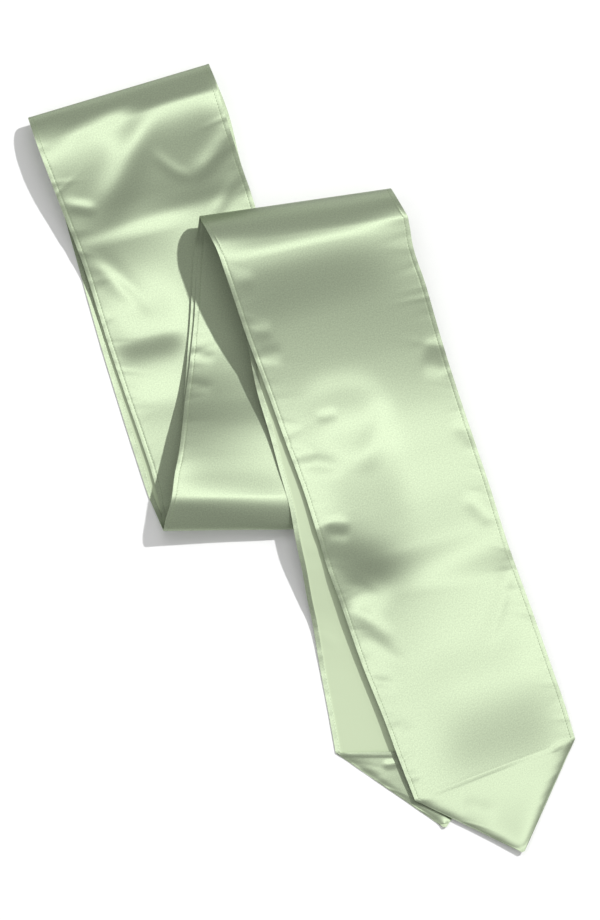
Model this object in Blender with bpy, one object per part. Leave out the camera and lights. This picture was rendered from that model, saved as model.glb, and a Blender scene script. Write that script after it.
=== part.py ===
"""Satin sash: one long hemmed strip with pointed ends, doubled and laid down in a flat zigzag.

The strip is folded in half, wrong sides together, so each of the three runs has two plies.
The back run lies on the floor, the middle run crosses it, and the front run lies over both
and ends in the two points. Every turn of the strip stands up as a soft round loop.
"""

import math
from collections import namedtuple

import bmesh
import bpy
import numpy as np

MM = 0.001

# Driving dimensions, in millimetres.
STRIP_WIDTH = 152.0  # finished width of the strip
CLOTH = 1.0  # wall of the cloth
SEAM_GAP = 0.3  # clear distance between two stretches of the strip, and under a facing
HEM_WIDTH = 4.0  # narrow turned hem along both long edges
HEM_STEP = 0.8  # width of the step down from the hem to the single cloth
HEM_PROUD = 0.4  # how far the turned hem stands out on the wrong side
FLOOR_PLY = CLOTH / 2  # mid wall of the ply that lies on the floor
BLUNT_TIP = 3.0  # width left at the very tip of each point
FACING_INSET = 6.0  # bare border between the facing and the edges of the point
FACING_END_WIDTH = 18.0  # width of the point where its facing stops, short of the tip

# The plan is drawn with its bounding box centred on this place.
PLAN_CENTRE = (-1.07, -0.04)

# How many faces each stretch has across the strip and along it.
PANEL_FACES_ACROSS = 7
BACK_FACE_ROWS = 20
BACK_REVERSE_ROWS = 10
MIDDLE_ROWS = 16
FRONT_FACE_ROWS = 30
FRONT_REVERSE_ROWS = 26
LOOP_FACES = 8
POINT_FACES = 5

# How finely the curve between two lines is followed.
STEPS_PER_LINE = 8

# Edges that turn by more than this many degrees stay sharp.
SHARP_ANGLE = 40.0

# Lines across the strip, in order along each run: the place and the mid-wall height of the
# left edge, then of the right edge. The first and last lines that meet a fold lie on its crest,
# with the height that the run has beside that fold.
Line = namedtuple("Line", "left_x left_y left_z right_x right_y right_z")

# Top ply of the back run, from the far fold to the near fold.
BACK_FACE = [
    Line(-219.6, 271.6, 21.0, -75.2, 314.8, 17.5),
    Line(-211.8, 248.7, 21.5, -68.4, 295.2, 18.0),
    Line(-202.6, 224.2, 20.5, -60.4, 268.8, 16.0),
    Line(-188.4, 187.2, 13.5, -48.0, 230.4, 8.0),
    Line(-181.2, 169.1, 8.5, -41.6, 212.0, 4.2),
    Line(-172.0, 143.2, 4.2, -32.8, 182.4, 3.0),
    Line(-156.8, 94.4, 3.0, -17.6, 130.4, 3.0),
    Line(-142.4, 51.2, 3.0, -1.6, 80.0, 3.0),
    Line(-129.6, 14.4, 3.0, 14.4, 28.8, 3.0),
    Line(-119.8, -16.0, 3.0, 27.2, -12.8, 3.0),
    Line(-110.8, -54.8, 3.0, 39.2, -50.4, 3.0),
]

# Bottom ply of the back run, flat on the floor, from the far fold to the near fold.
BACK_REVERSE = [
    Line(-219.6, 271.6, 0.5, -75.2, 314.8, 0.5),
    Line(-205.6, 234.4, 0.5, -60.0, 276.8, 0.5),
    Line(-194.4, 204.8, 0.5, -50.4, 238.4, 0.5),
    Line(-185.6, 174.4, 0.5, -40.8, 202.4, 0.5),
    Line(-176.8, 143.2, 0.5, -29.6, 166.4, 0.5),
    Line(-161.6, 89.6, 0.5, -14.4, 114.4, 0.5),
    Line(-145.6, 37.6, 0.5, 3.2, 58.4, 0.5),
    Line(-133.6, 0.0, 0.5, 17.6, 14.4, 0.5),
    Line(-122.4, -33.6, 0.5, 29.6, -25.6, 0.5),
    Line(-111.5, -58.2, 0.5, 39.2, -55.6, 0.5),
]

# Top ply of the middle run, from the near fold to the top fold.
MIDDLE_FACE = [
    Line(-111.5, -58.2, 29.5, 39.2, -55.6, 10.5),
    Line(-105.4, -35.2, 30.0, 42.4, -33.6, 11.0),
    Line(-102.4, -13.6, 29.5, 44.8, -13.6, 10.5),
    Line(-99.0, 3.2, 28.0, 47.2, 6.4, 9.5),
    Line(-96.6, 22.4, 24.0, 49.6, 30.4, 8.5),
    Line(-94.4, 44.8, 17.0, 52.8, 58.4, 7.0),
    Line(-91.6, 66.4, 11.5, 56.0, 90.4, 6.0),
    Line(-89.2, 88.0, 8.5, 59.2, 122.4, 5.5),
    Line(-86.6, 114.4, 8.0, 62.4, 154.4, 5.5),
    Line(-84.8, 150.4, 8.0, 66.4, 182.4, 5.5),
    Line(-81.2, 189.2, 8.0, 70.8, 211.6, 5.5),
]

# Bottom ply of the middle run, from the top fold to the near fold.
MIDDLE_REVERSE = [
    Line(-82.6, 192.9, 5.5, 70.2, 215.1, 3.0),
    Line(-87.2, 163.2, 5.5, 65.6, 180.6, 3.0),
    Line(-88.4, 146.4, 5.5, 63.2, 166.4, 3.0),
    Line(-89.8, 116.4, 5.5, 60.8, 136.4, 3.0),
    Line(-92.0, 88.4, 6.0, 57.8, 116.0, 3.0),
    Line(-93.6, 66.4, 9.0, 54.6, 90.4, 3.5),
    Line(-95.4, 44.8, 14.5, 51.4, 58.4, 4.5),
    Line(-97.2, 22.4, 21.5, 48.2, 30.4, 6.0),
    Line(-99.6, 3.2, 25.5, 46.2, 6.4, 7.0),
    Line(-102.8, -13.6, 27.0, 44.0, -13.6, 8.0),
    Line(-105.6, -33.6, 27.5, 41.6, -33.2, 8.5),
    Line(-110.8, -54.8, 27.0, 39.2, -50.4, 8.0),
]

# Bottom ply of the front run, from the top fold to the shoulder of its point.
FRONT_REVERSE = [
    Line(-81.2, 189.2, 35.5, 70.8, 211.6, 29.0),
    Line(-67.2, 166.4, 37.0, 80.8, 188.8, 29.0),
    Line(-60.0, 146.4, 36.0, 84.8, 174.4, 28.0),
    Line(-52.8, 124.8, 33.5, 88.8, 156.8, 26.0),
    Line(-44.8, 94.4, 28.5, 96.8, 126.4, 22.0),
    Line(-37.2, 55.2, 23.5, 107.2, 84.8, 15.5),
    Line(-26.4, 18.2, 21.5, 116.8, 44.8, 11.0),
    Line(-18.5, -11.3, 21.0, 124.0, 12.8, 9.5),
    Line(-10.8, -38.8, 20.5, 131.2, -16.0, 8.5),
    Line(-5.6, -67.2, 18.5, 137.6, -43.2, 7.0),
    Line(-0.8, -89.6, 14.0, 142.4, -65.6, 5.0),
    Line(3.2, -112.0, 8.0, 147.2, -88.0, 3.0),
    Line(8.0, -134.4, 3.0, 151.2, -110.4, 1.2),
    Line(13.6, -168.0, 0.7, 157.6, -145.6, 0.5),
    Line(20.0, -201.6, 0.5, 163.2, -181.6, 0.5),
    Line(26.2, -236.0, 0.5, 169.6, -214.4, 0.5),
]
FRONT_REVERSE_TIP = (113.6, -295.2, 0.5)

# Top ply of the front run, from the top fold to the shoulder of its point.
FRONT_FACE = [
    Line(-82.6, 192.9, 39.5, 70.2, 215.1, 33.0),
    Line(-69.6, 168.0, 41.0, 82.0, 196.0, 32.5),
    Line(-62.0, 147.2, 40.0, 84.8, 185.6, 31.5),
    Line(-54.9, 126.4, 37.5, 88.5, 165.4, 29.5),
    Line(-44.1, 94.4, 32.5, 98.0, 137.6, 26.0),
    Line(-27.8, 51.1, 27.0, 110.8, 93.6, 19.5),
    Line(-14.2, 13.3, 24.5, 123.0, 55.2, 15.0),
    Line(-0.1, -24.7, 23.5, 135.7, 17.4, 12.5),
    Line(12.3, -63.8, 22.0, 148.5, -20.4, 10.5),
    Line(20.0, -88.8, 18.5, 157.6, -49.6, 8.5),
    Line(31.2, -119.6, 10.0, 166.4, -76.4, 6.5),
    Line(46.9, -164.2, 6.0, 182.8, -121.2, 5.5),
    Line(64.8, -208.8, 6.0, 198.4, -165.8, 5.0),
    Line(76.0, -239.2, 6.0, 209.4, -197.4, 4.0),
    Line(89.6, -273.8, 5.0, 217.6, -224.5, 3.0),
]
FRONT_FACE_TIP = (176.1, -314.8, 1.9)

# The crest of each turn: its mid-wall height at the left and right edge, and how far the turn
# reaches back along the strip before the runs begin.
Turn = namedtuple("Turn", "crest_left_z crest_right_z reach")
FAR_TURN = Turn(13.5, 10.5, 22.0)
NEAR_OUTER_TURN = Turn(15.5, 6.0, 27.0)
NEAR_INNER_TURN = Turn(15.0, 5.6, 23.0)
TOP_OUTER_TURN = Turn(23.0, 18.0, 26.0)
TOP_INNER_TURN = Turn(22.5, 17.5, 22.0)

# The largest soft ridges of the cloth: the middle of the crest line, its heading, how far it
# reaches along and across that heading, and its height.
Ridge = namedtuple("Ridge", "x y heading length width height")
BACK_RIDGES = [
    Ridge(-138.0, 262.0, -15.0, 50.0, 13.0, 3.0),
    Ridge(-157.0, 222.0, -75.0, 40.0, 14.0, 3.5),
    Ridge(-78.0, 232.0, 60.0, 30.0, 14.0, 2.5),
    Ridge(-168.0, 152.0, -50.0, 34.0, 12.0, 2.5),
]
MIDDLE_RIDGES = [
    Ridge(-62.0, -20.0, -10.0, 40.0, 13.0, 2.0),
]
FRONT_RIDGES = [
    Ridge(8.0, 172.0, 12.0, 60.0, 14.0, 3.0),
    Ridge(24.0, 38.0, 50.0, 44.0, 18.0, 3.5),
    Ridge(110.0, 28.0, -75.0, 55.0, 22.0, 4.0),
    Ridge(118.0, -52.0, -65.0, 60.0, 20.0, 4.0),
    Ridge(44.0, -98.0, -35.0, 34.0, 12.0, 3.0),
    Ridge(118.0, -150.0, -70.0, 60.0, 24.0, 3.5),
]

ROUGHNESS = 0.45
SATIN_LIT = (0.745, 0.863, 0.624, 1.0)
SATIN_MID = (0.546, 0.651, 0.416, 1.0)
WRONG_SIDE = (0.491, 0.597, 0.381, 1.0)


def across_places():
    """Places across the strip, from 0 at the left edge to 1 at the right edge."""
    hem = HEM_WIDTH / STRIP_WIDTH
    step = (HEM_WIDTH + HEM_STEP) / STRIP_WIDTH
    middle = np.linspace(step, 1.0 - step, PANEL_FACES_ACROSS + 1)
    return np.concatenate(([0.0, hem], middle, [1.0 - hem, 1.0]))


ACROSS = across_places()
IN_HEM = np.array([1.0, 1.0] + [0.0] * (PANEL_FACES_ACROSS + 1) + [1.0, 1.0])


def smooth_lines(lines):
    """Lines added between the given ones, on a smooth curve through all of them."""
    rows = np.array(lines, dtype=float)
    before = 2 * rows[0] - rows[1]
    after = 2 * rows[-1] - rows[-2]
    ends = np.vstack([before, rows, after])
    curve = []
    for index in range(len(rows) - 1):
        first, second, third, fourth = ends[index:index + 4]
        for step in range(STEPS_PER_LINE):
            t = step / STEPS_PER_LINE
            curve.append(0.5 * (
                2 * second
                + (third - first) * t
                + (2 * first - 5 * second + 4 * third - fourth) * t ** 2
                + (3 * second - first - 3 * third + fourth) * t ** 3
            ))
    curve.append(rows[-1])
    curve = np.array(curve)
    curve[:, [2, 5]] = np.maximum(curve[:, [2, 5]], FLOOR_PLY)
    return curve


def spread(lines):
    """The mid-wall points of a run: one row for each line, one column for each place across."""
    left = lines[:, None, 0:3]
    right = lines[:, None, 3:6]
    return left + (right - left) * ACROSS[None, :, None]


def along(points):
    """Distance in plan along each column of points, from the first row."""
    steps = np.linalg.norm(np.diff(points[:, :, :2], axis=0), axis=2)
    return np.vstack([np.zeros(points.shape[1]), np.cumsum(steps, axis=0)])


def cut_at(points, distances, column):
    """The points of one column at the given distances along it."""
    run = along(points)[:, column]
    return np.stack([np.interp(distances, run, points[:, column, axis]) for axis in range(3)], axis=-1)


def run_points(lines, start, end, faces):
    """The part of a run that begins and ends the given distances short of its first and last line."""
    fine = spread(smooth_lines(lines))
    length = along(fine)[-1]
    columns = []
    for column in range(fine.shape[1]):
        distances = np.linspace(start, length[column] - end, faces + 1)
        columns.append(cut_at(fine, distances, column))
    return np.stack(columns, axis=1)


def add_ridges(points, ridges):
    """Lift the points along each soft ridge."""
    lifted = points.copy()
    for ridge in ridges:
        heading = math.radians(ridge.heading)
        east = points[:, :, 0] - ridge.x
        north = points[:, :, 1] - ridge.y
        forward = east * math.cos(heading) + north * math.sin(heading)
        aside = north * math.cos(heading) - east * math.sin(heading)
        reach = (forward / ridge.length) ** 2 + (aside / ridge.width) ** 2
        lifted[:, :, 2] += ridge.height * np.exp(-reach)
    return lifted


def point_rows(shoulder, tip):
    """Rows from the shoulder of a point, whose two cut edges run straight to its tip."""
    left, right = shoulder[0], shoulder[-1]
    tip = np.array(tip)
    aside = (right - left) / np.linalg.norm(right - left) * BLUNT_TIP / 2
    rows = []
    for share in np.linspace(0.0, 1.0, POINT_FACES + 1)[1:]:
        row_left = left + (tip - aside - left) * share
        row_right = right + (tip + aside - right) * share
        rows.append(row_left + (row_right - row_left) * ACROSS[:, None])
    return np.array(rows)


def turn_points(upper, lower, turn):
    """The mid-wall points of a turn, from the end of the upper run round the crest to the lower run."""
    upper_fine = spread(smooth_lines(upper))
    lower_fine = spread(smooth_lines(lower))
    reach = turn.reach - SEAM_GAP / 2
    crest_z = turn.crest_left_z + (turn.crest_right_z - turn.crest_left_z) * ACROSS
    rows = []
    for angle in np.linspace(math.pi / 2, -math.pi / 2, LOOP_FACES + 1):
        side = upper_fine if angle >= 0 else lower_fine
        row = []
        for column in range(len(ACROSS)):
            crest = np.array([*side[0, column, :2], crest_z[column]])
            end = cut_at(side, reach, column)
            place = crest[:2] + (end[:2] - crest[:2]) * (1 - math.cos(angle))
            height = crest[2] + (end[2] - crest[2]) * abs(math.sin(angle))
            row.append([*place, height])
        rows.append(row)
    return np.array(rows)


def wall_normals(points):
    """Unit normals of a grid of points."""
    normals = np.cross(np.gradient(points, axis=0), np.gradient(points, axis=1))
    return normals / np.linalg.norm(normals, axis=2, keepdims=True)


def satin(name, colour):
    """A material of its own for each stretch of the satin."""
    material = bpy.data.materials.new(name)
    material.use_nodes = True
    shader = material.node_tree.nodes["Principled BSDF"]
    shader.inputs["Base Color"].default_value = colour
    shader.inputs["Roughness"].default_value = ROUGHNESS
    return material


def cloth_node(name, points, colour, hem_side=0.0, flip=False):
    """A closed wall of cloth about a grid of mid-wall points.

    hem_side is 1 where the turned hem is on the side that the normals point to, -1 on the other.
    """
    normals = wall_normals(points)
    if flip:
        normals = -normals
    hem = HEM_PROUD * IN_HEM[None, :, None] if hem_side else 0.0
    outer = points + normals * (CLOTH / 2 + (hem if hem_side > 0 else 0.0))
    inner = points - normals * (CLOTH / 2 + (hem if hem_side < 0 else 0.0))
    rows, columns = points.shape[:2]
    shift = np.array([*PLAN_CENTRE, 0.0])

    shape = bmesh.new()
    sheets = []
    for sheet in (outer, inner):
        vertices = (sheet - shift) * MM
        sheets.append([[shape.verts.new(place) for place in row] for row in vertices])
    for sheet in sheets:
        for i in range(rows - 1):
            for j in range(columns - 1):
                shape.faces.new((sheet[i][j], sheet[i + 1][j], sheet[i + 1][j + 1], sheet[i][j + 1]))
    border = [(i, 0) for i in range(rows)]
    border += [(rows - 1, j) for j in range(1, columns)]
    border += [(i, columns - 1) for i in range(rows - 2, -1, -1)]
    border += [(0, j) for j in range(columns - 2, 0, -1)]
    for here, there in zip(border, border[1:] + border[:1]):
        shape.faces.new((
            sheets[0][here[0]][here[1]],
            sheets[0][there[0]][there[1]],
            sheets[1][there[0]][there[1]],
            sheets[1][here[0]][here[1]],
        ))
    bmesh.ops.recalc_face_normals(shape, faces=shape.faces)
    mesh = bpy.data.meshes.new(name)
    shape.to_mesh(mesh)
    shape.free()
    mesh.materials.append(satin(name + "_satin", colour))
    mesh.shade_smooth()
    mesh.set_sharp_from_angle(angle=math.radians(SHARP_ANGLE))
    node = bpy.data.objects.new(name, mesh)
    bpy.context.scene.collection.objects.link(node)
    return node


def facing_points(points, side):
    """The points of a facing, taken from the pointed end of a ply and moved out past its face."""
    rows = points[-POINT_FACES - 1:]
    moved = rows + wall_normals(points)[-POINT_FACES - 1:] * side * (CLOTH + SEAM_GAP)
    left, right = moved[:, :1], moved[:, -1:]
    width = np.linalg.norm(right - left, axis=2, keepdims=True)
    keep = width[:, 0, 0] > FACING_END_WIDTH
    inset = FACING_INSET / width
    inner = inset + (1 - 2 * inset) * ACROSS[None, :, None]
    return (left + (right - left) * inner)[keep]


def run(lines, start_turn, end_turn, faces, ridges=()):
    """One ply of a run, cut a seam gap short of the turns at its ends."""
    start = start_turn.reach + SEAM_GAP / 2
    end = end_turn.reach + SEAM_GAP / 2 if end_turn else 0.0
    return add_ridges(run_points(lines, start, end, faces), ridges)


for leftover in list(bpy.data.objects):
    bpy.data.objects.remove(leftover)

back_face = run(BACK_FACE, FAR_TURN, NEAR_INNER_TURN, BACK_FACE_ROWS, BACK_RIDGES)
back_reverse = run(BACK_REVERSE, FAR_TURN, NEAR_OUTER_TURN, BACK_REVERSE_ROWS)
middle_face = run(MIDDLE_FACE, NEAR_OUTER_TURN, TOP_INNER_TURN, MIDDLE_ROWS, MIDDLE_RIDGES)
middle_reverse = run(MIDDLE_REVERSE, TOP_OUTER_TURN, NEAR_INNER_TURN, MIDDLE_ROWS)
front_face = run(FRONT_FACE, TOP_OUTER_TURN, None, FRONT_FACE_ROWS, FRONT_RIDGES)
front_reverse = run(FRONT_REVERSE, TOP_INNER_TURN, None, FRONT_REVERSE_ROWS)
front_face = np.concatenate([front_face, point_rows(front_face[-1], FRONT_FACE_TIP)])
front_reverse = np.concatenate([front_reverse, point_rows(front_reverse[-1], FRONT_REVERSE_TIP)])

cloth_node("back_run_face", back_face, SATIN_LIT, hem_side=-1.0)
cloth_node("back_run_reverse", back_reverse, WRONG_SIDE, hem_side=1.0)
cloth_node("middle_run_face", middle_face, SATIN_MID, hem_side=-1.0, flip=True)
cloth_node("middle_run_reverse", middle_reverse, WRONG_SIDE, hem_side=1.0)
cloth_node("front_run_face", front_face, SATIN_LIT, hem_side=-1.0)
cloth_node("front_run_reverse", front_reverse, WRONG_SIDE, hem_side=1.0)

cloth_node("far_fold", turn_points(BACK_FACE, BACK_REVERSE, FAR_TURN), SATIN_LIT, hem_side=1.0)
cloth_node(
    "near_fold_outer",
    turn_points(MIDDLE_FACE, BACK_REVERSE[::-1], NEAR_OUTER_TURN),
    SATIN_MID,
    hem_side=-1.0,
)
cloth_node(
    "near_fold_inner",
    turn_points(MIDDLE_REVERSE[::-1], BACK_FACE[::-1], NEAR_INNER_TURN),
    WRONG_SIDE,
    hem_side=1.0,
)
cloth_node("top_fold_outer", turn_points(FRONT_FACE, MIDDLE_REVERSE, TOP_OUTER_TURN), SATIN_LIT, hem_side=1.0)
cloth_node(
    "top_fold_inner",
    turn_points(FRONT_REVERSE, MIDDLE_FACE[::-1], TOP_INNER_TURN),
    WRONG_SIDE,
    hem_side=-1.0,
)

cloth_node("front_point_facing", facing_points(front_face, -1.0), SATIN_MID)
cloth_node("reverse_point_facing", facing_points(front_reverse, 1.0), SATIN_MID)
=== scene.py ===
"""The looks of the folded satin sash: its cloth, turned hems, facings, creases and stitches.

The sash is one strip, folded in half with the wrong sides together and laid down in a zigzag of
three runs. Each run has a top ply and a bottom ply, and each turn of the strip is a soft loop.
"""

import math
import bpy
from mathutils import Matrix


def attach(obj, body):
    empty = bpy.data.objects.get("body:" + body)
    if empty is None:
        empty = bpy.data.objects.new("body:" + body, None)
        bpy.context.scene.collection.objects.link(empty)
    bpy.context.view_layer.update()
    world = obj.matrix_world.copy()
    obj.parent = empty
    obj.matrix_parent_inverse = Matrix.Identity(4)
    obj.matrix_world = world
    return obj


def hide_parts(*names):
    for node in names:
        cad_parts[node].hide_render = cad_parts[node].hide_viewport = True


bl_info = {
    "name": "Folded Satin Sash",
    "version": (1, 0, 0),
    "blender": (4, 5, 0),
    "location": "View3D > Sidebar > Sash",
    "description": "Lays a doubled satin sash down in a zigzag, with its hems, facings and creases",
    "category": "Add Mesh",
}

from collections import namedtuple

import bpy
import numpy as np
from bpy.props import FloatProperty, FloatVectorProperty, PointerProperty
from mathutils import Vector

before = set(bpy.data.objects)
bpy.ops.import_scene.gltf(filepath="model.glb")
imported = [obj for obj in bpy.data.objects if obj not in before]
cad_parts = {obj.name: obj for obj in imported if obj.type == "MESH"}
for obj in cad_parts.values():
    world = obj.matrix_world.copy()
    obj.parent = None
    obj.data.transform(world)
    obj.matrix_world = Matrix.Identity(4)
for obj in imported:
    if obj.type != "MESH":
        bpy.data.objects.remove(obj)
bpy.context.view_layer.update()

MM = 0.001

# The sash lies with the centre of its plan at the origin. Places below are in millimetres from
# the point that the plan was drawn about.
PLAN_CENTRE = (-1.07, -0.04)
STRIP_WIDTH = 152.0

# Lines across the strip, in order along each run: the place and the height of the left edge,
# then of the right edge. The first and last lines that meet a turn lie on its crest, with the
# height that the run has beside that turn.
Line = namedtuple("Line", "left_x left_y left_z right_x right_y right_z")

BACK_FACE = [
    Line(-219.6, 271.6, 21.0, -75.2, 314.8, 17.5),
    Line(-211.8, 248.7, 21.5, -68.4, 295.2, 18.0),
    Line(-202.6, 224.2, 20.5, -60.4, 268.8, 16.0),
    Line(-188.4, 187.2, 13.5, -48.0, 230.4, 8.0),
    Line(-181.2, 169.1, 8.5, -41.6, 212.0, 4.2),
    Line(-172.0, 143.2, 4.2, -32.8, 182.4, 3.0),
    Line(-156.8, 94.4, 3.0, -17.6, 130.4, 3.0),
    Line(-142.4, 51.2, 3.0, -1.6, 80.0, 3.0),
    Line(-129.6, 14.4, 3.0, 14.4, 28.8, 3.0),
    Line(-119.8, -16.0, 3.0, 27.2, -12.8, 3.0),
    Line(-110.8, -54.8, 3.0, 39.2, -50.4, 3.0),
]
BACK_REVERSE = [
    Line(-219.6, 271.6, 0.5, -75.2, 314.8, 0.5),
    Line(-205.6, 234.4, 0.5, -60.0, 276.8, 0.5),
    Line(-194.4, 204.8, 0.5, -50.4, 238.4, 0.5),
    Line(-185.6, 174.4, 0.5, -40.8, 202.4, 0.5),
    Line(-176.8, 143.2, 0.5, -29.6, 166.4, 0.5),
    Line(-161.6, 89.6, 0.5, -14.4, 114.4, 0.5),
    Line(-145.6, 37.6, 0.5, 3.2, 58.4, 0.5),
    Line(-133.6, 0.0, 0.5, 17.6, 14.4, 0.5),
    Line(-122.4, -33.6, 0.5, 29.6, -25.6, 0.5),
    Line(-111.5, -58.2, 0.5, 39.2, -55.6, 0.5),
]
MIDDLE_FACE = [
    Line(-111.5, -58.2, 29.5, 39.2, -55.6, 10.5),
    Line(-105.4, -35.2, 30.0, 42.4, -33.6, 11.0),
    Line(-102.4, -13.6, 29.5, 44.8, -13.6, 10.5),
    Line(-99.0, 3.2, 28.0, 47.2, 6.4, 9.5),
    Line(-96.6, 22.4, 24.0, 49.6, 30.4, 8.5),
    Line(-94.4, 44.8, 17.0, 52.8, 58.4, 7.0),
    Line(-91.6, 66.4, 11.5, 56.0, 90.4, 6.0),
    Line(-89.2, 88.0, 8.5, 59.2, 122.4, 5.5),
    Line(-86.6, 114.4, 8.0, 62.4, 154.4, 5.5),
    Line(-84.8, 150.4, 8.0, 66.4, 182.4, 5.5),
    Line(-81.2, 189.2, 8.0, 70.8, 211.6, 5.5),
]
MIDDLE_REVERSE = [
    Line(-82.6, 192.9, 5.5, 70.2, 215.1, 3.0),
    Line(-87.2, 163.2, 5.5, 65.6, 180.6, 3.0),
    Line(-88.4, 146.4, 5.5, 63.2, 166.4, 3.0),
    Line(-89.8, 116.4, 5.5, 60.8, 136.4, 3.0),
    Line(-92.0, 88.4, 6.0, 57.8, 116.0, 3.0),
    Line(-93.6, 66.4, 9.0, 54.6, 90.4, 3.5),
    Line(-95.4, 44.8, 14.5, 51.4, 58.4, 4.5),
    Line(-97.2, 22.4, 21.5, 48.2, 30.4, 6.0),
    Line(-99.6, 3.2, 25.5, 46.2, 6.4, 7.0),
    Line(-102.8, -13.6, 27.0, 44.0, -13.6, 8.0),
    Line(-105.6, -33.6, 27.5, 41.6, -33.2, 8.5),
    Line(-110.8, -54.8, 27.0, 39.2, -50.4, 8.0),
]
FRONT_REVERSE = [
    Line(-81.2, 189.2, 35.5, 70.8, 211.6, 29.0),
    Line(-67.2, 166.4, 37.0, 80.8, 188.8, 29.0),
    Line(-60.0, 146.4, 36.0, 84.8, 174.4, 28.0),
    Line(-52.8, 124.8, 33.5, 88.8, 156.8, 26.0),
    Line(-44.8, 94.4, 28.5, 96.8, 126.4, 22.0),
    Line(-37.2, 55.2, 23.5, 107.2, 84.8, 15.5),
    Line(-26.4, 18.2, 21.5, 116.8, 44.8, 11.0),
    Line(-18.5, -11.3, 21.0, 124.0, 12.8, 9.5),
    Line(-10.8, -38.8, 20.5, 131.2, -16.0, 8.5),
    Line(-5.6, -67.2, 18.5, 137.6, -43.2, 7.0),
    Line(-0.8, -89.6, 14.0, 142.4, -65.6, 5.0),
    Line(3.2, -112.0, 8.0, 147.2, -88.0, 3.0),
    Line(8.0, -134.4, 3.0, 151.2, -110.4, 1.2),
    Line(13.6, -168.0, 0.7, 157.6, -145.6, 0.5),
    Line(20.0, -201.6, 0.5, 163.2, -181.6, 0.5),
    Line(26.2, -236.0, 0.5, 169.6, -214.4, 0.5),
]
FRONT_FACE = [
    Line(-82.6, 192.9, 39.5, 70.2, 215.1, 33.0),
    Line(-69.6, 168.0, 41.0, 82.0, 196.0, 32.5),
    Line(-62.0, 147.2, 40.0, 84.8, 185.6, 31.5),
    Line(-54.9, 126.4, 37.5, 88.5, 165.4, 29.5),
    Line(-44.1, 94.4, 32.5, 98.0, 137.6, 26.0),
    Line(-27.8, 51.1, 27.0, 110.8, 93.6, 19.5),
    Line(-14.2, 13.3, 24.5, 123.0, 55.2, 15.0),
    Line(-0.1, -24.7, 23.5, 135.7, 17.4, 12.5),
    Line(12.3, -63.8, 22.0, 148.5, -20.4, 10.5),
    Line(20.0, -88.8, 18.5, 157.6, -49.6, 8.5),
    Line(31.2, -119.6, 10.0, 166.4, -76.4, 6.5),
    Line(46.9, -164.2, 6.0, 182.8, -121.2, 5.5),
    Line(64.8, -208.8, 6.0, 198.4, -165.8, 5.0),
    Line(76.0, -239.2, 6.0, 209.4, -197.4, 4.0),
    Line(89.6, -273.8, 5.0, 217.6, -224.5, 3.0),
]

# The crest of each turn: its height at the left and right edge, and how far the turn reaches
# back along the strip before the runs begin.
Turn = namedtuple("Turn", "crest_left_z crest_right_z reach")
FAR_TURN = Turn(13.5, 10.5, 22.0)
NEAR_OUTER_TURN = Turn(15.5, 6.0, 27.0)
NEAR_INNER_TURN = Turn(15.0, 5.6, 23.0)
TOP_OUTER_TURN = Turn(23.0, 18.0, 26.0)
TOP_INNER_TURN = Turn(22.5, 17.5, 22.0)

# Soft creases, placed on the plan: where each starts and ends, how far it bows to its
# left, its height (a trough is negative), and how wide it is on its left and on its right.
Crease = namedtuple("Crease", "x1 y1 x2 y2 bow height left right")

BACK_CREASES = [
    Crease(-134, 274, -64, 294, 2, 2.8, 10, 26),
    Crease(-194, 258, -130, 286, 3, 1.2, 8, 10),
    Crease(-214, 240, -150, 262, 3, 0.8, 10, 14),
    Crease(-124, 286, -165, 188, 5, 2.3, 13, 12),
    Crease(-121, 246, -88, 223, -3, 0.5, 5, 5),
    Crease(-89, 222, -57, 266, -3, 1.2, 8, 6),
    Crease(-170, 192, -56, 212, 0, -0.6, 14, 14),
    Crease(-192, 203, -164, 198, 0, 0.8, 5, 5),
    Crease(-53, 226, -72, 192, 0, 0.5, 5, 5),
    Crease(-200, 158, -86, 187, 0, 2.6, 18, 40),
    Crease(-172, 160, -132, 122, 0, 0.6, 6, 7),
    Crease(-164, 166, -118, 114, 0, -0.4, 7, 6),
    Crease(-154, 92, -92, 106, 0, 3.1, 34, 15),
    Crease(-136, 42, -92, 50, 0, 0.6, 12, 14),
]
MIDDLE_CREASES = [
    Crease(-112, -33, 12, -57, 3, 4.6, 30, 12),
    Crease(-92, 84, -70, 80, 0, 0.35, 4, 5),
    Crease(-94, 60, -72, 56, 0, 0.35, 4, 5),
]
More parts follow.
